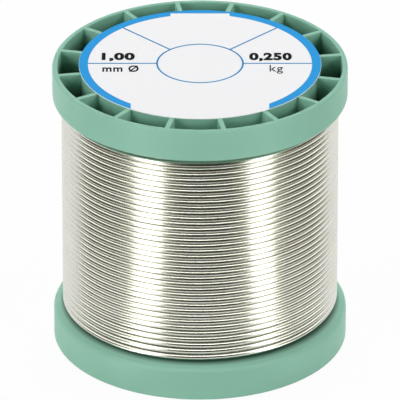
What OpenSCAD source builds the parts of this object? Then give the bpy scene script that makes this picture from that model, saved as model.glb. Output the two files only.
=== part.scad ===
// Solder wire spool: two ribbed flange mouldings pushed into a barrel tube,
// a full winding of flux-cored wire and a round paper label on the upper flange.
// The spool stands on its lower rim, axis along Z, origin at the centre of that rim.

/* [Spool] */
// Diameter of each flange
flange_d = 50; // [45:0.5:60]
// Height over both flanges, without the label
overall_h = 51; // [41:0.5:64]
// Diameter of the barrel that the wire is wound on
barrel_d = 26.5; // [24:0.5:32]
// Wall of the barrel tube
barrel_wall = 1.2; // [0.8:0.1:1.6]
// Bore for the spindle
bore_d = 11; // [8:0.5:13]

/* [Flange] */
// Height of a flange, from its rim edge to the face that the wire lies against
flange_h = 6.6; // [5.6:0.1:8]
// Wall of the outer rim at its edge
rim_wall = 0.9; // [0.7:0.1:1.4]
// Thickness of the web behind the wire
web_wall = 1.3; // [1:0.1:2]
// Width of the sloping shoulder between the wire face and the rim
shoulder_w = 2.2; // [1.5:0.1:3]
// Height that the shoulder falls over its width
shoulder_drop = 1; // [0.5:0.05:1.4]
// Radius between the shoulder and the rim
shoulder_round = 0.9; // [0.5:0.1:1.2]
// Radius on the outer edge of the rim
edge_round = 0.4; // [0.2:0.05:0.6]
// Radius on the inner edge of the rim
inner_round = 0.2; // [0.1:0.05:0.4]
// Number of radial ribs
rib_count = 16; // [12:4:20]
// Thickness of a rib at its free edge
rib_wall = 0.8; // [0.6:0.1:1.2]
// Amount by which each wall thickens from its free edge to its root
draft = 0.1; // [0:0.02:0.2]
// Width of the ring that carries the edge of the label
land_w = 2; // [1.4:0.1:2.4]

/* [Hub] */
// Wall of the hub round the bore
hub_wall = 1.5; // [1.2:0.1:2]
// Length of the hub
hub_len = 14; // [10:0.5:17]
// Thickness of the end panel round the hub
panel_wall = 1.3; // [1:0.1:2]
// Depth that the end panel lies behind the rim edge
panel_drop = 0.6; // [0.4:0.1:1.2]
// Wall of the spigot that plugs into the barrel
spigot_wall = 1.2; // [1:0.1:1.6]
// Length of the spigot inside the barrel
spigot_len = 5; // [3:0.5:7]
// Chamfer at the mouth of the bore and on the spigot
lead_in = 0.4; // [0.2:0.1:0.6]

/* [Wire] */
// Diameter of the solder wire
wire_d = 1; // [0.8:0.05:1.2]
// Diameter over the outer layer of wire
winding_d = 47; // [42:0.5:47.5]
// Most turns that the outer layer is drawn with
max_turns = 24; // [8:1:24]
// Least gap that is left between two drawn turns
turn_gap = 0.44; // [0.42:0.01:1]
// Diameter of the flux thread inside the wire
flux_d = 0.4; // [0.3:0.05:0.5]
// Radius of the bend where the wire turns into a slot
bend_r = 1.6; // [1.3:0.1:2]
// Length of the cut end that stands in the flange pocket
tail_len = 2.6; // [1.5:0.1:3]
// Angle of the stretch that climbs out of the layer below
climb_angle = 50; // [30:5:90]

/* [Label] */
// Diameter of the label
label_d = 41; // [34:0.5:42]
// Thickness of the label
label_t = 0.2; // [0.1:0.05:0.3]
// Overhang of the label past the ring that carries it
label_lip = 0.2; // [0:0.1:0.4]

/* [Fits] */
// Radial gap between spigot and barrel, and between barrel and winding
fit_gap = 0.1; // [0.05:0.05:0.2]
// Gap between the winding and each flange
side_gap = 0.15; // [0.1:0.05:0.3]
// Gap between the wire and the walls of a slot
slot_gap = 0.3; // [0.2:0.05:0.4]
// Radial gap between the outer layer and the layers below it
layer_gap = 0.04; // [0.02:0.02:0.2]
// Radial gap between the flux thread and the wire round it
flux_gap = 0.01; // [0.01:0.01:0.03]

/* [Hidden] */

// Smoothness of full circles, and steps in a quarter turn of a rounded edge
$fn = 96;
arc_steps = 6;
// Sink that makes touching shapes of one solid run into each other
sink = 0.2;

// Radii of the flange section, from the rim inwards
flange_r = flange_d / 2;
rim_in_r = flange_r - rim_wall;
seat_r = label_d / 2 - label_lip;
seat_in_r = seat_r - land_w;
collar_r = barrel_d / 2;
barrel_in_r = collar_r - barrel_wall;
spigot_r = barrel_in_r - fit_gap;
spigot_in_r = spigot_r - spigot_wall;
bore_r = bore_d / 2;
hub_r = bore_r + hub_wall;

// Levels of the flange section, from the rim edge at 0 upwards
web_z = flange_h - web_wall;
panel_top = panel_drop + panel_wall;
hub_top = panel_drop + hub_len;
spigot_top = flange_h + spigot_len;

// Shoulder: its slope, and the centre of the rounding that meets the rim
shoulder_a = atan(shoulder_drop / shoulder_w);
shoulder_tangent = shoulder_round * tan((90 - shoulder_a) / 2);
shoulder_c = [flange_r - shoulder_round, flange_h - shoulder_drop - shoulder_tangent];

// Ribs stand half a step off the X axis, so a pocket faces each side
rib_step = 360 / rib_count;
rib_root = rib_wall + 2 * draft;

// Winding: centre line of the outer layer, its first and last level, and its turns
rings_per_turn = 24;
tube_sides = 6;
wind_r = (winding_d - wire_d) / 2;
wind_top = overall_h - flange_h - side_gap - wire_d / 2;
wind_bottom = flange_h + side_gap + wire_d / 2;
wind_room = wind_top - wind_bottom;
turns = min(max_turns, floor(wind_room / (wire_d + turn_gap)));
pitch = wind_room / turns;
// A turn is a ring of chords, and the layers below end under the middle of a chord
core_r = wind_r * cos(180 / rings_per_turn) - wire_d / 2 - layer_gap;

// Tie-off slot in the pocket at the back, level with the outer layer
tie_slot_a = 90;
tie_slot_len = bend_r + wire_d + slot_gap;
slot_w = wire_d + 2 * slot_gap;
// The bend starts before the slot, so that the cut end stands in its far half
tail_shift = tie_slot_len / 2 - slot_gap - wire_d / 2;
tail_a = tie_slot_a + asin((bend_r - tail_shift) / wind_r);

// The climb runs down to the middle of the layer below
climb_r = wind_r - wire_d;
climb_rings = 5;
start_a = tail_a + climb_angle;
channel_w = wire_d + 2 * slot_gap;

// Start slot beside the barrel, in the pocket at the front
start_slot_a = -90;
start_r = collar_r + slot_w / 2 + fit_gap;
start_slot_len = slot_w + wire_d / 2;
// The inner end bends outwards, as far as the ring under the label leaves room
start_room = seat_in_r - draft - slot_gap - start_r;
start_bend_r = min(1.5 * wire_d, 0.6 * start_room);
start_run = min(1.5 * wire_d, start_room - start_bend_r);
start_z = flange_h - web_wall - wire_d / 2;

// Points of an arc about c, from angle a0 to angle a1
function arc(c, r, a0, a1) =
    [for (i = [0 : arc_steps]) c + r * [cos(a0 + (a1 - a0) * i / arc_steps),
                                        sin(a0 + (a1 - a0) * i / arc_steps)]];
function unit(v) = v / norm(v);
function radial(a) = [cos(a), sin(a), 0];
// Direction of travel of the winding, clockwise seen from above
function along(a) = [sin(a), -cos(a), 0];
function flat(v) = [v[0], v[1]];

// Half section of a flange, rim edge at 0 and wire face at flange_h
module flange_section() {
    polygon(concat(
        [[rim_in_r - draft, web_z]],
        arc([rim_in_r + inner_round, inner_round], inner_round, 180, 270),
        arc([flange_r - edge_round, edge_round], edge_round, 270, 360),
        arc(shoulder_c, shoulder_round, 0, 90 - shoulder_a),
        [[flange_r - shoulder_w, flange_h],
         [spigot_r, flange_h],
         [spigot_r, spigot_top - lead_in],
         [spigot_r - lead_in, spigot_top],
         [spigot_in_r, spigot_top],
         [spigot_in_r, web_z],
         [spigot_r, web_z],
         [spigot_r, panel_top],
         [hub_r, panel_top],
         [hub_r - draft, hub_top],
         [bore_r, hub_top],
         [bore_r, panel_drop + lead_in],
         [bore_r + lead_in, panel_drop],
         [collar_r, panel_drop],
         [collar_r + draft, web_z],
         [seat_in_r - draft, web_z],
         [seat_in_r, 0],
         [seat_r, 0],
         [seat_r + draft, web_z]]));
}

// One radial rib, thicker at its root on the web
module rib() {
    rib_len = rim_in_r - collar_r + 2 * sink;
    translate([collar_r - sink, 0, 0])
        rotate([90, 0, 90])
            linear_extrude(rib_len)
                polygon([[-rib_wall / 2, 0], [rib_wall / 2, 0],
                         [rib_root / 2, web_z + sink], [-rib_root / 2, web_z + sink]]);
}

// Round-ended slot through the web, its length along X before it is turned
module web_slot(slot_len) {
    translate([0, 0, web_z - sink]) linear_extrude(web_wall + 2 * sink) {
        square([slot_len - slot_w, slot_w], center = true);
        for (side = [-1, 1])
            translate([side * (slot_len - slot_w) / 2, 0])
                circle(d = slot_w);
    }
}

// Flange moulding with its rim edge on the ground and its spigot up
module flange() {
    difference() {
        union() {
            rotate_extrude() flange_section();
            for (i = [0 : rib_count - 1])
                rotate([0, 0, (i + 0.5) * rib_step]) rib();
        }
        rotate([0, 0, tie_slot_a]) translate([wind_r, 0, 0])
            rotate([0, 0, 90]) web_slot(tie_slot_len);
        rotate([0, 0, start_slot_a]) translate([start_r, 0, 0])
            rotate([0, 0, 90]) web_slot(start_slot_len);
    }
}

module lower_flange() {
    color([0.50, 0.71, 0.63]) flange();
}

// The same moulding turned over about the Y axis, so the slots stay in line
module upper_flange() {
    color([0.54, 0.73, 0.66])
        translate([0, 0, overall_h]) rotate([0, 180, 0]) flange();
}

// Plain tube between the two wire faces, over both spigots
module barrel() {
    color([0.45, 0.64, 0.57])
        translate([0, 0, flange_h])
            difference() {
                cylinder(h = overall_h - 2 * flange_h, r = collar_r);
                translate([0, 0, -sink])
                    cylinder(h = overall_h - 2 * flange_h + 2 * sink, r = barrel_in_r);
            }
}

// All layers under the outer one, with the channel that the wire climbs out of
module wire_inner_layers() {
    core_gap = side_gap / 2;
    core_h = overall_h - 2 * flange_h - 2 * core_gap;
    color([0.62, 0.61, 0.57])
        difference() {
            translate([0, 0, flange_h + core_gap]) cylinder(h = core_h, r = core_r);
            translate([0, 0, flange_h]) cylinder(h = core_h + sink, r = collar_r + fit_gap);
            translate([0, 0, wind_top - channel_w / 2])
                linear_extrude(channel_w) climb_channel();
        }
}

// Plan of the channel: part of a ring, ended by a line square to the straight run
module climb_channel() {
    run_end = -wire_d * flat(along(start_a));
    reach = 2 * wind_r;
    intersection() {
        difference() {
            circle(r = wind_r);
            circle(r = climb_r - channel_w / 2);
        }
        polygon([[0, 0],
                 reach * flat(radial(tail_a - wire_d)),
                 reach * flat(radial(tail_a + climb_angle / 2)),
                 run_end + reach * flat(radial(start_a)),
                 run_end]);
    }
}

// Centre line of the outer layer, from the top: straight run, climb, turns, bend, cut end
start_p = climb_r * radial(start_a) + [0, 0, wind_top];
start_pts = [start_p - wire_d * along(start_a)];
climb_pts = [for (i = [0 : climb_rings - 1])
    let (s = i / climb_rings, a = start_a - climb_angle * s)
    (climb_r + wire_d * (1 - cos(180 * s)) / 2) * radial(a) + [0, 0, wind_top]];
turn_pts = [for (i = [0 : turns * rings_per_turn])
    let (a = tail_a - 360 * i / rings_per_turn)
    wind_r * radial(a) + [0, 0, wind_top - pitch * i / rings_per_turn]];
bend_rings = 4;
bend_p = wind_r * radial(tail_a) + [0, 0, wind_bottom];
bend_pts = [for (i = [1 : bend_rings])
    let (a = 90 * i / bend_rings)
    bend_p + bend_r * sin(a) * along(tail_a) - [0, 0, bend_r * (1 - cos(a))]];
tail_pts = [bend_pts[bend_rings - 1] - [0, 0, tail_len]];
wire_pts = concat(start_pts, climb_pts, turn_pts, bend_pts, tail_pts);
last = len(wire_pts) - 1;

// Travel at a ring, exact at both ends so that each end is cut square
function travel(i) =
    i == 0 ? along(start_a)
    : i == last ? [0, 0, -1]
    : unit(unit(wire_pts[i + 1] - wire_pts[i]) + unit(wire_pts[i] - wire_pts[i - 1]));
// Outward direction across the wire at a ring
function outward(i) =
    let (p = wire_pts[i], t = travel(i), o = unit([p[0], p[1], 0]))
    unit(o - (o * t) * t);
function wire_ring(i) =
    let (o = outward(i), u = cross(travel(i), o))
    [for (k = [0 : tube_sides - 1])
        wire_pts[i] + wire_d / 2 * (o * cos(360 * k / tube_sides) + u * sin(360 * k / tube_sides))];

// Least gap between stretches that are at least half a turn apart
function least_gap() =
    min([for (i = [0 : last], j = [i + rings_per_turn / 2 : last])
        norm(wire_pts[i] - wire_pts[j])]) - wire_d;

// Outer layer as one unbroken tube, its cut end down through the tie-off slot
module wire_outer_layer() {
    echo(turns = turns, pitch = pitch, least_gap = least_gap());
    points = [for (i = [0 : last]) each wire_ring(i)];
    sides = [for (i = [0 : last - 1], k = [0 : tube_sides - 1])
        let (a = i * tube_sides, k2 = (k + 1) % tube_sides)
        each [[a + k, a + tube_sides + k, a + tube_sides + k2],
              [a + k, a + tube_sides + k2, a + k2]]];
    first_cap = [for (k = [1 : tube_sides - 2]) [0, k, k + 1]];
    end_base = last * tube_sides;
    last_cap = [for (k = [1 : tube_sides - 2]) [end_base, end_base + k + 1, end_base + k]];
    color([0.80, 0.80, 0.76])
        polyhedron(points = points, faces = concat(sides, first_cap, last_cap));
}

// Inner end of the wire: down through the start slot, then outwards in the pocket
module start_path(d_out, d_in) {
    rotate([0, 0, start_slot_a]) translate([start_r, 0, 0]) {
        translate([0, 0, start_z])
            linear_extrude(flange_h + side_gap / 2 - start_z) wire_section(d_out, d_in);
        translate([start_bend_r, 0, start_z])
            rotate([90, 0, 0])
                rotate_extrude(angle = 90, start = 180)
                    translate([start_bend_r, 0]) wire_section(d_out, d_in);
        translate([start_bend_r, 0, start_z - start_bend_r])
            rotate([90, 0, 90])
                linear_extrude(start_run) wire_section(d_out, d_in);
    }
}

// Section of the wire: a disc, or a ring where an inner diameter is given
module wire_section(d_out, d_in) {
    difference() {
        circle(d = d_out);
        if (d_in > 0)
            circle(d = d_in);
    }
}

module wire_start_end() {
    color([0.80, 0.80, 0.76]) start_path(wire_d, flux_d);
}

// Flux thread, seen in the cut face of the inner end
module flux_core() {
    color([0.86, 0.72, 0.38]) start_path(flux_d - 2 * flux_gap, 0);
}

// Paper label, stuck on the upper rim of its ring and on the rib edges
module label() {
    color([0.96, 0.96, 0.96])
        translate([0, 0, overall_h]) cylinder(h = label_t, d = label_d);
}

upper_flange();
lower_flange();
barrel();
wire_inner_layers();
wire_outer_layer();
wire_start_end();
flux_core();
label();
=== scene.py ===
# %% [markdown]
# # A spool of solder wire
# A small plastic spool stands on its lower rim. It has two ribbed flanges, a full winding of bright solder
# wire and a round paper label on top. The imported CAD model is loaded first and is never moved: each piece
# that is made here takes its place from it. Sizes are written in millimetres and turned into metres by one
# factor, because a spool is drawn in millimetres and Blender works in metres.

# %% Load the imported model
import math

import bmesh
import bpy
import numpy as np
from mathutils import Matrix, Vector


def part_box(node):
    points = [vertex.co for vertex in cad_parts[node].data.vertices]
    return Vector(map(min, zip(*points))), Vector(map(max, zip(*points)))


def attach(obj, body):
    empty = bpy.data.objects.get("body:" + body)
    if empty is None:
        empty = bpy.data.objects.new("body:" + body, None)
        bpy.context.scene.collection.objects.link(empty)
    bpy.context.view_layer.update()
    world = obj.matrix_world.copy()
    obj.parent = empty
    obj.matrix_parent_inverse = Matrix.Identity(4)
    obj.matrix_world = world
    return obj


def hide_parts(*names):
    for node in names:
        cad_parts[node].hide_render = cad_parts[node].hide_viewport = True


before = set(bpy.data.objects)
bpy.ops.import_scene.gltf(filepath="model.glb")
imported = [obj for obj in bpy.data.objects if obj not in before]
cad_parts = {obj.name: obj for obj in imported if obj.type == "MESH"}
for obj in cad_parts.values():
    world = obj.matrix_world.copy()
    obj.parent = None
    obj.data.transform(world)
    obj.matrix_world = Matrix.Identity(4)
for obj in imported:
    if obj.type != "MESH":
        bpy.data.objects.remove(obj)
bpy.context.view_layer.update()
MM = 0.001


print("CAD nodes:", sorted(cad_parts))

# %% [markdown]
# ## Levels of the spool
# The height of the spool and the two faces that the wire lies between are read from the nodes' boxes, so the
# winding that is made below always fits between the flanges. The wire's diameter is the width of its inner
# end, which runs down and then towards the front without turning aside.

# %% Read the levels from the frame
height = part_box("upper_flange")[1].z / MM
face_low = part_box("barrel")[0].z / MM
face_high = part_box("barrel")[1].z / MM
barrel_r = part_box("barrel")[1].x / MM
flange_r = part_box("lower_flange")[1].x / MM
label_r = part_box("label")[1].x / MM
label_low, label_top = (corner.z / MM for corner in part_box("label"))
start_low, start_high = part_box("wire_start_end")
wire_d = (start_high.x - start_low.x) / MM
print(f"height {height:.2f}, wire faces {face_low:.2f} and {face_high:.2f}, flange radius {flange_r:.2f}")
print(f"label radius {label_r:.2f}, barrel radius {barrel_r:.2f}, wire diameter {wire_d:.2f}")

# %% [markdown]
# ## Camera
# A long lens from a metre and a half away keeps the two flanges almost the same width. The camera looks down
# at 27.4 degrees, and it stands slightly to the right of the middle of a rib gap. Its lens comes from the
# number of pixels that a millimetre takes at the axis.

# %% Place the camera
IMAGE_PIXELS = 400
PIXELS_PER_MM = 5.87
CAMERA_MM = 1520
CAMERA_TURN = math.radians(1.9)
CAMERA_RISE = math.radians(27.4)
AIM_BELOW_MIDDLE = 0.27
SENSOR_MM = 36
NEAREST_M, FARTHEST_M = 0.05, 20


def heading(turn, rise):
    """Unit vector away from the spool: turn is counted from the front, -Y, towards +X, and rise up from the
    floor. Its parts are sin turn cos rise, -cos turn cos rise and sin rise."""
    return Vector((math.sin(turn) * math.cos(rise), -math.cos(turn) * math.cos(rise), math.sin(rise)))


def new_object(name, data):
    """An object that shows the data, put into the scene."""
    made = bpy.data.objects.new(name, data)
    bpy.context.scene.collection.objects.link(made)
    return made


camera_data = bpy.data.cameras.new("camera")
camera_data.sensor_width = SENSOR_MM
camera_data.lens = SENSOR_MM * PIXELS_PER_MM * CAMERA_MM / IMAGE_PIXELS
camera_data.clip_start = NEAREST_M
camera_data.clip_end = FARTHEST_M
camera = new_object("camera", camera_data)
sight = heading(CAMERA_TURN, CAMERA_RISE)
aim = Vector((0, 0, height / 2 - AIM_BELOW_MIDDLE)) * MM
camera.location = aim + sight * CAMERA_MM * MM
camera.rotation_euler = sight.to_track_quat("Z", "Y").to_euler()
bpy.context.scene.camera = camera
print(f"lens {camera_data.lens:.0f} mm at {CAMERA_MM} mm")

# %% [markdown]
# ## Colours and materials
# Colours are written as they look on a screen, from 0 to 255, and turned into the linear numbers that shaders
# use. Each material starts from one Principled shader. A piece has one material, which takes the place of any
# that it came with.

# %% Helpers for colours and materials
WHITE = (1, 1, 1, 1)
BLACK = (0, 0, 0, 1)


def linear(red, green, blue):
    """Screen colour to linear: each channel over 255, plus 0.055, over 1.055, to the power 2.4."""
    return tuple(((c / 255 + 0.055) / 1.055) ** 2.4 for c in (red, green, blue)) + (1.0,)


def new_material(name):
    """A material, its node tree and its Principled shader."""
    material = bpy.data.materials.new(name)
    material.use_nodes = True
    return material, material.node_tree, material.node_tree.nodes["Principled BSDF"]


def coat(thing, material):
    """Gives an object this one material."""
    thing.data.materials.clear()
    thing.data.materials.append(material)


print("linear mid grey:", [round(c, 3) for c in linear(128, 128, 128)])

# %% [markdown]
# ## Nodes of a material
# A material's recipe is a net of nodes. One helper adds a node and joins its inputs in the same call. The
# others stand for the nodes that are used again and again, which keeps each recipe short enough to read.

# %% Helpers for nodes
NOISE_RANGE = (0.3, 0.7)


def add_node(tree, kind, inputs=None, **settings):
    """A node of that kind. Each input is a plain value, or a socket of another node to join."""
    node = tree.nodes.new(kind)
    for key, value in settings.items():
        setattr(node, key, value)
    for key, value in (inputs or {}).items():
        if isinstance(value, bpy.types.NodeSocket):
            tree.links.new(value, node.inputs[key])
        else:
            node.inputs[key].default_value = value
    return node


def join(tree, shader, **sources):
    """Joins sockets to the shader's inputs. An input's name is written with _ for each space."""
    for key, source in sources.items():
        tree.links.new(source, shader.inputs[key.replace("_", " ")])


def places(tree, kind):
    """Each point's place, as coordinates of that kind: Object in metres, or the piece's own UV."""
    return add_node(tree, "ShaderNodeTexCoord").outputs[kind]


def noise(tree, vector, scale, detail=3):
    """Smooth random values from 0 to 1: scale features to one unit of the vector, in detail finer steps."""
    inputs = {"Vector": vector, "Scale": scale, "Detail": detail}
    return add_node(tree, "ShaderNodeTexNoise", inputs).outputs["Fac"]


def spread(tree, value, low, high, source=NOISE_RANGE):
    """A value from the source range, by default most of a noise, spread linearly over low to high."""
    inputs = {"Value": value, "From Min": source[0], "From Max": source[1], "To Min": low, "To Max": high}
    return add_node(tree, "ShaderNodeMapRange", inputs).outputs["Result"]


def calculate(tree, operation, *values):
    """The result of one operation on one or two values, such as ADD or ABSOLUTE."""
    return add_node(tree, "ShaderNodeMath", dict(enumerate(values)), operation=operation).outputs[0]


def blend_colours(tree, share, first, second):
    """The first colour where share is 0, the second where it is 1."""
    return add_node(tree, "ShaderNodeMix", {0: share, 6: first, 7: second}, data_type="RGBA").outputs[2]


def relief(tree, bumps, strength, depth):
    """The normals of a skin whose bumps stand out by depth in metres, weakened to the share strength."""
    inputs = {"Height": bumps, "Strength": strength, "Distance": depth}
    return add_node(tree, "ShaderNodeBump", inputs).outputs["Normal"]


print("most of a noise lies between", *NOISE_RANGE)

# %% [markdown]
# ## Green plastic
# The flanges are moulded in a soft green polystyrene. It is even in colour, with a satin skin: a broad, weak
# shine and a surface that is very slightly uneven where the plastic cooled. Two noises do that, one about a
# centimetre wide for colour and gloss, and one far finer for the skin. They follow each point's own place, so
# they need no unfolding of the surface.

# %% Make the green plastic
PLASTIC_GREEN = linear(137, 187, 166)
PLASTIC_DEEP = linear(129, 181, 159)
FLOW_SCALE, SKIN_SCALE = 90, 2600
PLASTIC_ROUGH = (0.42, 0.5)
PLASTIC_RELIEF = (0.05, 0.00005)
PLASTIC_SHINE = 0.35

plastic, tree, shader = new_material("green_plastic")
place = places(tree, "Object")
flow = noise(tree, place, FLOW_SCALE)
skin = noise(tree, place, SKIN_SCALE, detail=2)
even = blend_colours(tree, flow, PLASTIC_GREEN, PLASTIC_DEEP)
join(tree, shader, Roughness=spread(tree, flow, *PLASTIC_ROUGH), Normal=relief(tree, skin, *PLASTIC_RELIEF))
shader.inputs["Specular IOR Level"].default_value = PLASTIC_SHINE

for node in ("upper_flange", "lower_flange", "barrel"):
    coat(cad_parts[node], plastic)
print("green plastic on the flanges and the barrel")

# %% [markdown]
# ## Shade in the pockets
# The pockets between the ribs and the crack under the last turn look nearly black, because little light gets
# there.
# So this shade is painted into the colour: the plastic deepens with a point's place, its radius and how far
# it lies above or below the middle of the spool. The painted shade is alike in the pockets of both flanges,
# less at their floors, which face the light. In the crack it is painted only in the lower flange.

# %% Paint shade into the pockets and the crack
# Painted shade: the colour that the plastic darkens to in the pockets and in the crack under the last turn.
PLASTIC_SHADED = linear(20, 54, 38)
# Levels are counted up or down from the middle of the spool.
POCKET_MOUTH, POCKET_DEPTH, POCKET_SHARE = 23.8, 21.2, 0.88
FLOOR_FADE, FLOOR_FADED = 20.7, 19.7
POCKET_R, POCKET_EDGE = 24.15, 0.1
CRACK_LEVEL, CRACK_EDGE, CRACK_SHARE = 19.6, 0.02, 0.9
CRACK_R, CRACK_END_R = 23.1, 24.0
BELOW_MIDDLE = -1


def both(tree, first, second):
    """The product of two shares."""
    return calculate(tree, "MULTIPLY", first, second)


def grown(tree, measure, start, full, share=1):
    """A share that grows from 0, where the measure is start, to its whole size, where it is full. Start and
    full are in millimetres."""
    return spread(tree, measure, 0, share, (start * MM, full * MM))


flat = add_node(tree, "ShaderNodeVectorMath", {0: place, 1: (1, 1, 0)}, operation="MULTIPLY").outputs[0]
radius = add_node(tree, "ShaderNodeVectorMath", {0: flat}, operation="LENGTH").outputs["Value"]
upright = add_node(tree, "ShaderNodeSeparateXYZ", {0: place}).outputs["Z"]
above = calculate(tree, "SUBTRACT", upright, height / 2 * MM)
away = calculate(tree, "ABSOLUTE", above)

mouth = grown(tree, away, POCKET_MOUTH, POCKET_DEPTH, POCKET_SHARE)
floor_faded = grown(tree, away, FLOOR_FADED, FLOOR_FADE)
inside_wall = grown(tree, radius, POCKET_R + POCKET_EDGE, POCKET_R)
pocket_shade = both(tree, mouth, both(tree, floor_faded, inside_wall))

crack = grown(tree, away, CRACK_LEVEL + CRACK_EDGE, CRACK_LEVEL, CRACK_SHARE)
below = grown(tree, above, 0, BELOW_MIDDLE)
inward_of_rim = grown(tree, radius, CRACK_END_R, CRACK_R)
crack_shade = both(tree, crack, both(tree, below, inward_of_rim))

# The painted shade is the larger of the two shares, pocket and crack.
shaded = calculate(tree, "MAXIMUM", pocket_shade, crack_shade)
join(tree, shader, Base_Color=blend_colours(tree, shaded, even, PLASTIC_SHADED))
print(f"the shade grows over {POCKET_MOUTH - POCKET_DEPTH:.1f} mm, inside a radius of {POCKET_R} mm")

# %% [markdown]
# ## Solder
# Solder is drawn through a die, so it has fine lines along its length and a bright, slightly warm grey shine.
# The lines follow the wire, so the material reads the wire's own UV map: how far along it, and how far round
# it. A noise that is stretched fifty times along the wire gives the lines. A slow noise dulls the shine in
# patches, as handling and air do. The inner end is a CAD piece without such a map, so its lines are laid
# upright, by its place.

# %% Make the solder
SOLDER_BRIGHT = linear(223, 223, 214)
SOLDER_DULL = linear(212, 212, 202)
SOLDER_ROUGH = (0.17, 0.24)
SOLDER_RELIEF = (0.12, 0.00002)
WIRE_STREAK, WIRE_PATCH = (0.12, 6, 1), 0.05
END_STREAK, END_PATCH = (3000, 3000, 300), 60


def solder_material(name, coordinate, streak, patch):
    """Metal with lines along one way of a coordinate: streak scales the coordinate, small along the wire, and
    patch is the scale of the dull patches."""
    material, tree, shader = new_material(name)
    place = places(tree, coordinate)
    stretched = add_node(tree, "ShaderNodeMapping", {"Vector": place, "Scale": streak}).outputs["Vector"]
    lines = noise(tree, stretched, 1, detail=2)
    dull = spread(tree, noise(tree, place, patch), 0, 1)
    join(tree, shader, Base_Color=blend_colours(tree, dull, SOLDER_BRIGHT, SOLDER_DULL),
         Roughness=spread(tree, lines, *SOLDER_ROUGH), Normal=relief(tree, lines, *SOLDER_RELIEF))
    shader.inputs["Metallic"].default_value = 1.0
    return material


solder = solder_material("solder", "UV", WIRE_STREAK, WIRE_PATCH)
solder_end = solder_material("solder_end", "Object", END_STREAK, END_PATCH)
coat(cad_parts["wire_start_end"], solder_end)
print("solder for the wire, and on its inner end")

# %% [markdown]
# ## Flux
# The wire is a thin tube of metal filled with rosin, an amber resin that is cloudy and glossy. It shows where
# the inner end is cut off.

# %% Make the flux
FLUX_AMBER = linear(206, 158, 74)
FLUX_BROWN = linear(170, 118, 44)
FLUX_SCALE = 4000
FLUX_ROUGH = (0.2, 0.35)

flux, tree, shader = new_material("rosin_flux")
cloud = noise(tree, places(tree, "Object"), FLUX_SCALE)
join(tree, shader, Base_Color=blend_colours(tree, cloud, FLUX_AMBER, FLUX_BROWN),
     Roughness=spread(tree, cloud, *FLUX_ROUGH))
coat(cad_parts["flux_core"], flux)
print("rosin flux on the thread inside the wire")

# %% [markdown]
# ## Surfaces from numpy grids
# A new piece is a grid of points: one parameter runs along it and the other round it. The grid becomes a mesh
# of four-sided faces in one call. A grid that comes back to its start is closed by joining the last column to
# the first, and an open end of a tube is closed by one flat face, so no piece has a hole.

# %% Helpers for surfaces


def stacked(*parts):
    """Points from their coordinates: arrays that are first spread over one common grid."""
    return np.stack(np.broadcast_arrays(*parts), axis=-1)


def grid_faces(rows, columns, wrap_rows, wrap_columns):
    """Corner numbers of each cell of a grid: point (i, j) is number i * columns + j, and wrapping takes i or
    j back to 0 after the last."""
    i = np.arange(rows if wrap_rows else rows - 1)
    j = np.arange(columns if wrap_columns else columns - 1)
    i, j = (a.ravel() for a in np.meshgrid(i, j, indexing="ij"))
    i2, j2 = (i + 1) % rows, (j + 1) % columns
    return np.stack([i * columns + j, i2 * columns + j, i2 * columns + j2, i * columns + j2], axis=1)


def surface_piece(name, points, wrap_rows=False, wrap_columns=True, close_ends=False, uv=None):
    """A mesh object from a grid of points in millimetres, shaped (rows, columns, 3). uv gives each point its
    place on the surface."""
    rows, columns = points.shape[:2]
    faces = grid_faces(rows, columns, wrap_rows, wrap_columns).tolist()
    if close_ends:
        faces.append(list(range(columns)))
        faces.append([(rows - 1) * columns + j for j in reversed(range(columns))])
    mesh = bpy.data.meshes.new(name)
    mesh.from_pydata((points.reshape(-1, 3) * MM).tolist(), [], faces)
    mesh.shade_smooth()
    if uv is not None:
        corner = np.zeros(len(mesh.loops), np.int32)
        mesh.loops.foreach_get("vertex_index", corner)
        layer = mesh.uv_layers.new(name="place")
        layer.data.foreach_set("uv", uv.reshape(-1, 2)[corner].astype(np.float32).ravel())
    return new_object(name, mesh)


def carry(piece, slot, material, *nodes):
    """The piece rides on the spool, takes the material and hides the CAD nodes that it stands for. slot is
    not used.
    """
    coat(piece, material)
    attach(piece, "root")
    if nodes:
        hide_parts(*nodes)
    print(f"{piece.name}: {len(piece.data.polygons)} faces")


print("cells of a closed grid of 3 by 4 points:", len(grid_faces(3, 4, wrap_rows=True, wrap_columns=True)))

# %% [markdown]
# ## The path of the wire
# On the real spool one length of wire fills every layer. Only the last two layers can be seen, so they are
# made as one unbroken path. The lower of them climbs from the bottom to the top, the wire steps out by its
# own thickness, and the outer layer comes down again. Both go round the same way, clockwise from above.
#
# A turn that lies against a flange lies flat, and all the turns between share what room is left. So at the
# front the 36 turns fill the whole height between the faces, and at the back, where the layer starts and
# ends, there is room for one more. The height of the wire is a mix of these two spacings, weighted by a
# cosine of the angle. The last few turns lie a little looser than the rest, because nothing presses them
# together.

# %% Work out the path
TURNS = 36
STEPS_PER_TURN = 72
WIND_R = 23.0
UNDER_R = WIND_R - wire_d
SIDE_GAP = 0.06
TIE_SLOT = math.radians(90)
BEND_R = 1.6
SLOT_GAP = 0.3
TAIL_LEN = 2.6
CLIMB = math.radians(50)
CLIMB_STEPS = 11
TIGHT_PITCH = 0.985
LOOSE_TURNS = 6
LOOSE_POWER = 1.5

# The cut end stands tail_shift past the middle of the slot, SLOT_GAP from the slot's far end. The bend starts
# its own radius before that, and there the outer layer ends.
tail_shift = (BEND_R + wire_d + SLOT_GAP) / 2 - SLOT_GAP - wire_d / 2
tail_turn = TIE_SLOT + math.asin((BEND_R - tail_shift) / WIND_R)
top_z = face_high - SIDE_GAP - wire_d / 2
bottom_z = face_low + SIDE_GAP + wire_d / 2
room = top_z - bottom_z


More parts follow.
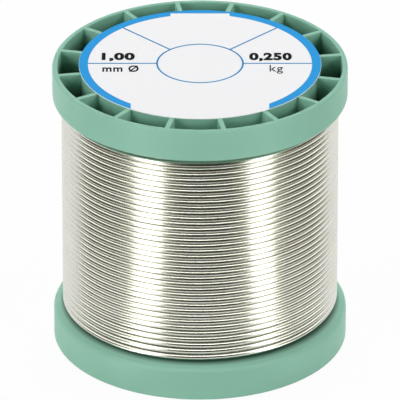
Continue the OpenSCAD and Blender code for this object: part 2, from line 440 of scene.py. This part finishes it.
def fall(turn):
    """Drop of the wire after a number of turns. At the back it is room / TURNS for each turn, at the front
    room / (TURNS - 1) for each turn after the first half, and a raised cosine of the angle mixes the two. The
    turns are first counted unevenly: TIGHT_PITCH for each, and what is left over is shared out among the last
    ones."""
    front = (1 - np.cos(2 * np.pi * turn)) / 2
    loose = np.clip((turn - TURNS + LOOSE_TURNS) / LOOSE_TURNS, 0, 1) ** LOOSE_POWER
    count = TIGHT_PITCH * turn + (1 - TIGHT_PITCH) * TURNS * loose
    drop = (1 - front) * room / TURNS * count + front * room / (TURNS - 1) * (count - 0.5)
    return np.clip(drop, 0, room)


def helix(turn, radius, level):
    """Points at an angle that falls with the number of turns, at that radius and level: radius times the
    cosine and the sine of the angle, and the level."""
    angle = tail_turn - 2 * np.pi * turn
    return stacked(radius * np.cos(angle), radius * np.sin(angle), level)


turn = np.linspace(0, TURNS, TURNS * STEPS_PER_TURN + 1)
climb_share = CLIMB / (2 * np.pi)
under = helix(turn - TURNS - climb_share, UNDER_R, bottom_z + fall(turn))
climb_turn = np.linspace(-climb_share, 0, CLIMB_STEPS + 1)[1:-1]
step_out = (1 - np.cos(np.pi * (climb_turn + climb_share) / climb_share)) / 2
climbing = helix(climb_turn, UNDER_R + wire_d * step_out, top_z)
outer = helix(turn, WIND_R, top_z - fall(turn))
print(f"room {room:.2f} mm, front pitch {room / (TURNS - 1):.3f} mm, {len(under) + len(outer)} points")

# %% [markdown]
# ## The tied-off end
# At the end of the outer layer the wire bends down through a slot in the lower flange and is cut off in the
# pocket below, so it can't spring loose. The bend is a quarter circle, and the cut end stands straight.

# %% Add the bend and the cut end
BEND_STEPS = 8
TAIL_STEPS = 4

bend_angle = np.linspace(0, np.pi / 2, BEND_STEPS + 1)[1:, None]
travel = np.array([math.sin(tail_turn), -math.cos(tail_turn), 0])
down = np.array([0, 0, -1.0])
bend = outer[-1] + BEND_R * np.sin(bend_angle) * travel + BEND_R * (1 - np.cos(bend_angle)) * down
tail = bend[-1] + down * np.linspace(0, TAIL_LEN, TAIL_STEPS + 1)[1:, None]
wire_path = np.concatenate([under, climbing, outer, bend, tail])
steps = np.linalg.norm(np.diff(wire_path, axis=0), axis=1)
wire_along = np.concatenate([[0], np.cumsum(steps)])
print(f"{wire_along[-1] / 1000:.2f} m of wire in the two layers, cut end at {tail[-1].round(2)}")

# %% [markdown]
# ## Sweep the wire
# A tube is a ring of points carried along the path. Each ring stands square to the wire's direction. One of
# its two axes points away from the spool, so the tube never twists, and the other is the cross product of the
# two. A slow wander of a few hundredths of a millimetre keeps the turns from looking machined. It is the mean
# of a few sine waves whose lengths and starts are drawn by chance, with a fixed seed.

# %% Make the winding
WIRE_SIDES = 14
WANDER_MM = 0.06
WANDER_EVERY_MM = 31.0
WANDER_WAVES = 6
WANDER_RATES = (0.6, 1.4)
WANDER_SEED = 7


def sweep(path, radius, sides):
    """Ring k of the tube: the path point plus radius times the outward axis by the cosine of the angle round
    the wire, plus radius times the side axis by its sine."""
    along = np.gradient(path, axis=0)
    along /= np.linalg.norm(along, axis=1, keepdims=True)
    outward = path * [1, 1, 0]
    outward -= (outward * along).sum(1, keepdims=True) * along
    outward /= np.linalg.norm(outward, axis=1, keepdims=True)
    side = np.cross(outward, along)
    angle = np.linspace(0, 2 * np.pi, sides, endpoint=False)
    ring = outward[:, None] * np.cos(angle)[:, None] + side[:, None] * np.sin(angle)[:, None]
    return path[:, None] + radius * ring


chance = np.random.default_rng(WANDER_SEED)
beats = chance.uniform(*WANDER_RATES, WANDER_WAVES) * 2 * np.pi / WANDER_EVERY_MM
phases = chance.uniform(0, 2 * np.pi, WANDER_WAVES)
wander = WANDER_MM * np.sin(wire_along[:, None] * beats + phases).mean(1)
tube = sweep(wire_path + stacked(0, 0, wander), wire_d / 2, WIRE_SIDES)
round_wire = np.linspace(0, np.pi * wire_d, WIRE_SIDES, endpoint=False)
wire_uv = stacked(wire_along[:, None], round_wire)
winding = surface_piece("wire_winding", tube, close_ends=True, uv=wire_uv)
carry(winding, "solder", solder, "wire_outer_layer")

# %% [markdown]
# ## The layers below
# Under the two layers that are made turn by turn lies the rest of the winding. It shows only as darkness
# between the turns, so one ring with a ridge for each turn stands for it. Its profile is a row of arches,
# spun about the axis.

# %% Make the layers below
SPIN_STEPS = 96
ARCH_STEPS = 6
CORE_GAP = 0.1
SPIN_MM, ARCH_MM = 1.4, 0.2


def spin(profile, steps):
    """Each profile point (radius, level) carried round the axis: radius times the cosine and the sine of the
    angle, and the level."""
    angle = np.linspace(0, 2 * np.pi, steps, endpoint=False)[:, None]
    radius, level = profile.T
    return stacked(radius * np.cos(angle), radius * np.sin(angle), level)


ridge_r = UNDER_R - wire_d
ridge = np.arange(TURNS * ARCH_STEPS + 1) / ARCH_STEPS
ridge_level = bottom_z - wire_d / 2 + (room + wire_d) * ridge / TURNS
ridge_out = ridge_r + wire_d / 2 * np.abs(np.sin(np.pi * ridge))
bore_r = barrel_r + CORE_GAP
bore = np.array([[bore_r, ridge_level[-1]], [bore_r, ridge_level[0]]])
core_profile = np.concatenate([stacked(ridge_out, ridge_level), bore])
core_uv = stacked(np.arange(SPIN_STEPS)[:, None] * SPIN_MM, np.arange(len(core_profile)) * ARCH_MM)
core = surface_piece("wire_layers_below", spin(core_profile, SPIN_STEPS), wrap_rows=True, uv=core_uv)
carry(core, "solder", solder, "wire_inner_layers")

# %% [markdown]
# ## Label paper
# The label is a disc of coated paper, stuck on the rib edges and on the ring between them. It is made a
# little thinner than its CAD solid, which leaves room for the print to lie on it as its own thin pieces. Its
# profile runs from the centre below, round the edge, to the centre on top. The two centre points are each one
# point, so the disc has no hole and no crease.

# %% Make the label paper
PAPER_WHITE = linear(244, 244, 245)
PAPER_SHADE = linear(238, 238, 240)
FIBRE_SCALE = 1800
PAPER_ROUGH = (0.6, 0.7)
PAPER_RELIEF = (0.05, 0.00003)
PAPER_SHINE = 0.2
PAPER_GAP = 0.04
PAPER_EDGE = 0.04
PAPER_STEPS = 192

paper, tree, shader = new_material("label_paper")
fibre = noise(tree, places(tree, "Object"), FIBRE_SCALE)
join(tree, shader, Base_Color=blend_colours(tree, fibre, PAPER_WHITE, PAPER_SHADE),
     Roughness=spread(tree, fibre, *PAPER_ROUGH), Normal=relief(tree, fibre, *PAPER_RELIEF))
shader.inputs["Specular IOR Level"].default_value = PAPER_SHINE


def disc_piece(name, profile, steps):
    """A closed disc: the profile points but the first and last are spun, and those two, on the axis, are each
    joined to the nearest ring by a fan of triangles."""
    rings = np.swapaxes(spin(profile[1:-1], steps), 0, 1)
    points = np.concatenate([rings.reshape(-1, 3), [[0, 0, profile[0, 1]], [0, 0, profile[-1, 1]]]])
    j = np.arange(steps)
    j2 = (j + 1) % steps
    top_row = (len(rings) - 1) * steps
    faces = grid_faces(len(rings), steps, wrap_rows=False, wrap_columns=True)[:, ::-1].tolist()
    faces += np.stack([np.full(steps, len(points) - 2), j2, j], axis=1).tolist()
    faces += np.stack([np.full(steps, len(points) - 1), top_row + j, top_row + j2], axis=1).tolist()
    mesh = bpy.data.meshes.new(name)
    mesh.from_pydata((points * MM).tolist(), [], faces)
    return new_object(name, mesh)


paper_top = label_top - PAPER_GAP
edge_r = label_r - PAPER_EDGE
paper_profile = np.array([[0, label_low], [edge_r, label_low], [label_r, label_low + PAPER_EDGE],
                          [label_r, paper_top - PAPER_EDGE], [edge_r, paper_top], [0, paper_top]])
label = disc_piece("label_paper", paper_profile, PAPER_STEPS)
carry(label, "label_paper", paper, "label")

# %% [markdown]
# ## Print on the label
# A plain blue border runs round the edge, open at the top and at the bottom. A thin circle in the middle and
# four thin lines divide the label into fields, and two fields carry a plain size and a plain weight. Each is
# a flat piece of ink, three hundredths of a millimetre thick, lying on the paper. The print reads upright
# from the front, so it is turned by the same angle as the camera.

# %% Make the three inks
INK_BLUE = linear(44, 153, 220)
INK_BLACK = linear(12, 12, 14)
INK_LINE = linear(8, 132, 190)
INK_SCALE = 5000
INK_ROUGH = (0.5, 0.6)
INK_SHINE = 0.05
INK_PALER = 0.005


def ink_material(name, colour):
    """Printing ink: one colour with a faint unevenness from the paper under it, and a dull shine."""
    material, tree, shader = new_material(name)
    speckle = noise(tree, places(tree, "Object"), INK_SCALE)
    paler = tuple((1 - INK_PALER) * c + INK_PALER for c in colour[:3]) + (1.0,)
    join(tree, shader, Base_Color=blend_colours(tree, spread(tree, speckle, 0, 1), colour, paler),
         Roughness=spread(tree, speckle, *INK_ROUGH))
    shader.inputs["Specular IOR Level"].default_value = INK_SHINE
    return material


blue_ink = ink_material("blue_ink", INK_BLUE)
line_ink = ink_material("line_ink", INK_LINE)
black_ink = ink_material("black_ink", INK_BLACK)
print("three inks")

# %% [markdown]
# ## Ink strips
# The border, the circle and the lines are all strips: a run of points, each with a left and a right edge, and
# a thin body between the paper and the top of the ink. One function makes the body from the two edges.

# %% Helpers for the print
INK_GAP = 0.01
INK_TOP = label_top - INK_GAP
PRINT_TURN = CAMERA_TURN


def turned_plan(x, y, turn):
    """Points of a plan turned round the axis: x cos turn - y sin turn, and x sin turn + y cos turn."""
    x, y = np.asarray(x, float), np.asarray(y, float)
    return stacked(x * math.cos(turn) - y * math.sin(turn), x * math.sin(turn) + y * math.cos(turn))


def on_label(x, y):
    """Points of the label's own plan, x to the right and y away from the viewer, turned with the print."""
    return turned_plan(x, y, PRINT_TURN)


def ink_strip(name, left, right, material, closed=False):
    """A thin body between two edge lines, each a row of plan points: its section is a flat rectangle from the
    paper up to the top of the ink. Seen from its first point, the left edge is on the left."""
    corners = [(left, paper_top), (right, paper_top), (right, INK_TOP), (left, INK_TOP)]
    points = np.stack([np.column_stack([edge, np.full(len(edge), level)]) for edge, level in corners], axis=1)
    strip = surface_piece(name, points, wrap_rows=closed, close_ends=not closed)
    strip.data.shade_flat()
    carry(strip, "label_paper", material)


print("ink from", round(paper_top, 3), "to", round(INK_TOP, 3), "mm")

# %% [markdown]
# ## Border
# The border is printed in two halves, because it is open at the top and at the bottom, where a printer sets a
# name and an address. Those places stay bare here. A sliver of blue closes the border above the upper one.
# The ends of the halves are cut straight, so each edge line runs between two angles that depend on its own
# radius.

# %% Make the border
BORDER_IN_R = 18.95
BORDER_OUT_R = edge_r
BORDER_POINTS = 120
TOP_TAB_X = 5.06
TOP_TAB_Y = 19.3
TOP_TAB_POINTS = 24
BOTTOM_TAB_X = 11.6


def border_edge(side, radius):
    """Plan points at a radius, from the lower tab's edge to the upper one's: their angles are the inverse
    cosines of the tabs' half widths over the radius, and side mirrors them."""
    lowest, highest = -math.acos(BOTTOM_TAB_X / radius), math.acos(TOP_TAB_X / radius)
    angle = np.linspace(lowest, highest, BORDER_POINTS)
    return on_label(side * radius * np.cos(angle), radius * np.sin(angle))


ink_strip("border_right", border_edge(1, BORDER_IN_R), border_edge(1, BORDER_OUT_R), blue_ink)
ink_strip("border_left", border_edge(-1, BORDER_OUT_R), border_edge(-1, BORDER_IN_R), blue_ink)
tab_x = np.linspace(-TOP_TAB_X, TOP_TAB_X, TOP_TAB_POINTS)
tab_rim = on_label(tab_x, np.sqrt(BORDER_OUT_R ** 2 - tab_x ** 2))
ink_strip("border_top", tab_rim, on_label(tab_x, TOP_TAB_Y), blue_ink)

# %% [markdown]
# ## Fields
# A thin circle leaves a round field in the middle. Two level lines and two slanting ones run from it towards
# the border. A line is the simplest strip: two points and a width.

# %% Make the circle and the lines
CIRCLE_R = 7.26
CIRCLE_Y = 0.15
CIRCLE_POINTS = 180
LINE_W = 0.28
LEVEL_Y = 0.15
SLANT_START, SLANT_END = (5.05, 5.37), (13.05, 13.65)


def circle_edge(radius):
    """Plan points of a whole circle: radius times the cosine and the sine of the angle, moved up by
    CIRCLE_Y."""
    angle = np.linspace(0, 2 * np.pi, CIRCLE_POINTS, endpoint=False)
    return on_label(radius * np.cos(angle), CIRCLE_Y + radius * np.sin(angle))


def ink_line(name, start, end):
    """A strip along a straight line: its edges lie half the line's width to the left and the right of it."""
    run = np.array(end) - np.array(start)
    across = np.array([-run[1], run[0]]) / np.hypot(*run) * LINE_W / 2
    ends = np.array([start, end])
    ink_strip(name, on_label(*(ends + across).T), on_label(*(ends - across).T), line_ink)


circle_edges = circle_edge(CIRCLE_R - LINE_W / 2), circle_edge(CIRCLE_R + LINE_W / 2)
ink_strip("middle_circle", *circle_edges, line_ink, closed=True)
for side, word in ((-1, "left"), (1, "right")):
    ink_line("level_line_" + word, (side * CIRCLE_R, LEVEL_Y), (side * BORDER_IN_R, LEVEL_Y))
    slant = [(side * x, y) for x, y in (SLANT_START, SLANT_END)]
    ink_line("slant_line_" + word, *slant)

# %% [markdown]
# ## Numbers
# The left field gives the width of the wire and the right one the weight. Type is easiest as a text object.
# It is made a mesh while it is still at the origin. Then its own points are stretched to the place that it
# fills: the top of the tallest sign tells how high the letters stand, and the two ends tell how wide the word
# is. The text only needs some thickness to have a top and an underside, which then go to the levels of the
# ink.

# %% Make the numbers
TYPE_STEPS = 4
TYPE_THICKNESS = 0.5
SIGN_SPACE = 1.1
SAME_POINT = 1e-5


def ink_word(name, words, left, right, baseline, tall, thicker):
    """Words as one thin closed body: x runs from left to right, y from the baseline up by tall for the
    highest sign, and z from the paper to the top of the ink."""
    letters = bpy.data.curves.new(name, "FONT")
    letters.body = words
    letters.extrude = TYPE_THICKNESS
    letters.offset = thicker
    letters.resolution_u = TYPE_STEPS
    letters.space_character = SIGN_SPACE
    letters_object = new_object(name, letters)
    bpy.context.view_layer.update()
    drawn = bmesh.new()
    drawn.from_mesh(letters_object.evaluated_get(bpy.context.evaluated_depsgraph_get()).to_mesh())
    bmesh.ops.remove_doubles(drawn, verts=drawn.verts, dist=SAME_POINT)
    bmesh.ops.recalc_face_normals(drawn, faces=drawn.faces)
    mesh = bpy.data.meshes.new(name)
    drawn.to_mesh(mesh)
    drawn.free()
    bpy.data.objects.remove(letters_object)
    place = np.zeros(len(mesh.vertices) * 3, np.float32)
    mesh.vertices.foreach_get("co", place)
    x, y, z = place.reshape(-1, 3).T
    x = left + (x - x.min()) / np.ptp(x) * (right - left)
    plan = on_label(x, baseline + y / y.max() * tall)
    level = np.where(z > 0, INK_TOP, paper_top)
    mesh.vertices.foreach_set("co", (np.column_stack([plan, level]) * MM).astype(np.float32).ravel())
    mesh.update()
    carry(new_object(name, mesh), "label_paper", black_ink)


ink_word("number_width", "1,00", left=-16.63, right=-11.05, baseline=1.6, tall=2.55, thicker=0.05)
ink_word("unit_width", "mm \u00d8", left=-16.48, right=-10.36, baseline=-2.95, tall=2.3, thicker=0.02)
ink_word("number_weight", "0,250", left=8.33, right=15.54, baseline=1.55, tall=2.6, thicker=0.05)
ink_word("unit_weight", "kg", left=11.75, right=14.0, baseline=-2.9, tall=2.4, thicker=0)

# %% [markdown]
# ## Floor
# The spool stands on a plain white sheet that reaches far past it on every side, so it looks the same from
# the front, from behind and from above. Rays from the camera see the sheet as white, and so do rays that
# bounce off metal, while the lamps still draw the spool's own shadow on it. The sheet has to be white in the
# wire too, because at the left and right edges of the winding the metal shows little else.

# %% Make the floor
FLOOR_M = 8.0
FLOOR_SINK = 0.05
SHEET_GREY = (0.8, 0.8, 0.8, 1)
SHEET_ROUGH = 0.9
SHEET_GLOW = 0.95


def seen_directly(tree):
    """1 for camera, mirror and glass rays, and 0 for the rays that light a surface."""
    rays = add_node(tree, "ShaderNodeLightPath").outputs
    seen = calculate(tree, "ADD", rays["Is Camera Ray"], rays["Is Glossy Ray"])
    return calculate(tree, "ADD", seen, rays["Is Transmission Ray"])


def mix_shaders(tree, share, first, second, output):
    """Shows the first shader where share is 0 and the second where it is 1, at that output."""
    mixed = add_node(tree, "ShaderNodeMixShader", {0: share, 1: first.outputs[0], 2: second.outputs[0]})
    tree.links.new(mixed.outputs[0], tree.nodes[output].inputs["Surface"])


def stage_sheet(name, points, material, uv=None):
    """A sheet of the studio from a grid of points in millimetres. It isn't part of the spool."""
    sheet = surface_piece(name, points, wrap_columns=False, uv=uv)
    coat(sheet, material)
    return sheet


white_sheet, tree, shader = new_material("white_sheet")
shader.inputs["Base Color"].default_value = SHEET_GREY
shader.inputs["Roughness"].default_value = SHEET_ROUGH
seen = calculate(tree, "MULTIPLY", seen_directly(tree), SHEET_GLOW)
glowing = add_node(tree, "ShaderNodeEmission", {"Color": WHITE, "Strength": 1.0})
mix_shaders(tree, seen, shader, glowing, "Material Output")

half = FLOOR_M / MM / 2
corner = np.array([-half, half])
stage_sheet("floor", stacked(corner, corner[:, None], -FLOOR_SINK), white_sheet)
print("floor of", FLOOR_M, "m")

# %% [markdown]
# ## Cards that show in the metal
# Metal shows the room more than its own colour, so the room is built for it. Bright wire in an all-white room
# looks like white plastic. Dark cards give each turn its dark line, narrow bright ones above them give it its
# bright line, and two tall white cards draw the two broad bands down the winding. Each card is laid out
# backwards: a patch of the winding is chosen, and the card stands where that patch mirrors the view. Only
# mirror rays see the cards, so they show in the metal, and faintly in the gloss of plastic and paper, but
# light nothing.

# %% Helpers for the cards
CARD_FAR = 1250
CARD_LIFT = 1.0
CARD_STEPS = 24
CARD_SOFT = 0.25
CARD_POINT = 0.01
CARD_BRIGHT = (1, 1, 0.97, 1)
CARD_DARK = (1, 1, 0.62, 1)
LEAST_FALL = 1e-6


def card_material(name, glow, edge_glow):
    """A card whose brightness goes smoothly from edge_glow at its two upright edges to glow, over the share
    CARD_SOFT of its width. A dark card glows yellower than a bright one."""
    material, tree, shader = new_material(name)
    across = add_node(tree, "ShaderNodeSeparateXYZ", {0: places(tree, "UV")}).outputs[0]
    inward = calculate(tree, "MINIMUM", across, calculate(tree, "SUBTRACT", 1.0, across))
    inputs = {"Value": inward, "From Max": CARD_SOFT, "To Min": edge_glow, "To Max": glow}
    ramp = add_node(tree, "ShaderNodeMapRange", inputs, interpolation_type="SMOOTHSTEP")
    join(tree, shader, Emission_Strength=ramp.outputs["Result"])
    shader.inputs["Base Color"].default_value = BLACK
    shader.inputs["Specular IOR Level"].default_value = 0
    shader.inputs["Emission Color"].default_value = CARD_BRIGHT if glow > 1 else CARD_DARK
    return material


def mirrored(side, tilt):
    """Where patches of wire look. A patch at an angle side round the winding, tilted up by tilt, has the
    normal n, and with the sight s to the viewer it looks along 2 (n . s) n - s. The point is where that line
    meets the floor, or CARD_FAR away where it meets the floor farther off or never."""
    normal = stacked(np.sin(side) * np.cos(tilt), -np.cos(side) * np.cos(tilt), np.sin(tilt))
    look = 2 * (normal @ np.array(sight))[..., None] * normal - np.array(sight)
    start = stacked(WIND_R * np.sin(side), -WIND_R * np.cos(side), height / 2)
    downward = np.maximum(-look[..., 2:], LEAST_FALL)
    return start + np.minimum((height / 2 - CARD_LIFT) / downward, CARD_FAR) * look


def card(name, first, last, low, high, glow, edge_glow=None, thin_from=None, turned=0):
    """The card that fills the patches from first to last degrees round the winding, counted from the front,
    and from low to high degrees of tilt of the wire's skin. From thin_from on it narrows to a point at last,
    as the share of the way that is left. The card can be turned round the axis for a viewer on another
    side."""
    side = np.linspace(first, last, CARD_STEPS)[None, :]
    share = np.ones_like(side)
    if thin_from is not None:
        share = np.clip((last - side) / (last - thin_from), CARD_POINT, 1)
    middle = (low + high) / 2
    tilt = middle + (np.linspace(low, high, CARD_STEPS)[:, None] - middle) * share
    x, y, level = np.moveaxis(mirrored(np.radians(side), np.radians(tilt)), -1, 0)
    points = np.dstack([turned_plan(x, y, math.radians(turned)), level])
    way = np.linspace(0, 1, CARD_STEPS)
    material = card_material(name, glow, glow if edge_glow is None else edge_glow)
    sheet = stage_sheet(name, points, material, stacked(way, way[:, None]))
    sheet.visible_camera = sheet.visible_diffuse = sheet.visible_shadow = sheet.visible_transmission = False
    print(f"{name}: {first} to {last} degrees round, {low} to {high} of tilt, brightness {glow}")


print("cards stand up to", CARD_FAR, "mm away")

# %% [markdown]
# ## The ten cards
# Between the two bands lies the front of the winding, and beyond them its two sides. Each of the three parts
# has a dark card for the middle of each turn's skin, and a bright line above it. The cards of the sides
# narrow to a point, so the winding pales towards its edges. Two more dark cards serve a viewer behind the
# spool.

# %% Make the cards
LEFT_BAND = (-27.2, -13.8)
RIGHT_BAND = (22.9, 34.1)
FRONT = (LEFT_BAND[1], RIGHT_BAND[0])
BAND_TILT = (-25, 80)
SIDE_DARK_TILT = (-4, 33)
SIDE_LINE_TILT = (38, 60)
BEHIND = 180

card("dark_front", *FRONT, low=-8, high=38, glow=0.035, edge_glow=0.22)
card("line_front", *FRONT, low=39, high=45.5, glow=4.3)
card("bright_left", *LEFT_BAND, *BAND_TILT, glow=3.0, edge_glow=1.1)
card("bright_right", *RIGHT_BAND, *BAND_TILT, glow=3.0, edge_glow=1.1)
card("dark_left", LEFT_BAND[0], -63, *SIDE_DARK_TILT, glow=0.1, edge_glow=0.3, thin_from=-50)
card("dark_right", RIGHT_BAND[1], 72, *SIDE_DARK_TILT, glow=0.1, edge_glow=0.3, thin_from=56)
card("line_left", LEFT_BAND[0], -60, *SIDE_LINE_TILT, glow=1.65, thin_from=-50)
card("line_right", RIGHT_BAND[1], 68, *SIDE_LINE_TILT, glow=1.65, thin_from=55)
card("dark_rear", -22, 22, low=36, high=51, glow=0.05, turned=BEHIND)
card("dark_rear_low", -7, 7, low=-4, high=28, glow=0.05, turned=BEHIND)

# %% [markdown]
# ## Light
# Five soft lamps light plain surfaces to about the colours that are written. Two stand low, left and right of
# the camera, for the upright walls. Two stand higher at the sides and one wide one high behind the spool, for
# the label and the upper faces. Mirror rays don't see them, because the cards stand there for the metal.

# %% Set up the lamps


def soft_box(name, turn, reach, level, tilt, width, tall, watts):
    """A rectangular lamp at a turn from the front, a reach from the axis and a level above the floor, that
    looks at the axis and down by the tilt. Lengths are in metres, and the two angles in degrees."""
    light = bpy.data.lights.new(name, "AREA")
    light.shape = "RECTANGLE"
    light.size = width
    light.size_y = tall
    light.energy = watts
    lamp = new_object(name, light)
    turn = math.radians(turn)
    lamp.location = (reach * math.sin(turn), -reach * math.cos(turn), level)
    lamp.rotation_euler = heading(turn, math.radians(tilt)).to_track_quat("Z", "Y").to_euler()
    lamp.visible_camera = lamp.visible_glossy = False
    print(f"{name}: {width} x {tall} m, {watts} W")


soft_box("left_box", turn=-45, reach=1.1, level=0.35, tilt=0, width=0.6, tall=0.6, watts=6.9)
soft_box("right_box", turn=53, reach=1.1, level=0.35, tilt=0, width=0.6, tall=0.6, watts=5.5)
soft_box("high_left_box", turn=-85, reach=1.0, level=0.9, tilt=42, width=0.7, tall=0.7, watts=4.8)
soft_box("high_right_box", turn=85, reach=1.0, level=0.9, tilt=42, width=0.7, tall=0.7, watts=4.6)
soft_box("rear_box", turn=180, reach=1.2, level=0.9, tilt=37, width=1.4, tall=0.7, watts=18.6)

# %% [markdown]
# ## World
# The world is white where the camera, metal or glass looks straight at it, so the floor's edge hardly shows.
# To everything else it gives only a faint grey light, because the lamps do that work. Colours are shown
# plainly, by the Standard view.

# %% Set up the world
WORLD_GREY = 0.03
WORLD_WHITE = 0.98

world = bpy.data.worlds.new("studio")
world.use_nodes = True
bpy.context.scene.world = world
tree = world.node_tree
grey = tree.nodes["Background"]
grey.inputs["Color"].default_value = WHITE
grey.inputs["Strength"].default_value = WORLD_GREY
white = add_node(tree, "ShaderNodeBackground", {"Color": WHITE, "Strength": WORLD_WHITE})
mix_shaders(tree, seen_directly(tree), grey, white, "World Output")
bpy.context.scene.view_settings.view_transform = "Standard"
print("world light", WORLD_GREY, "and world seen", WORLD_WHITE)
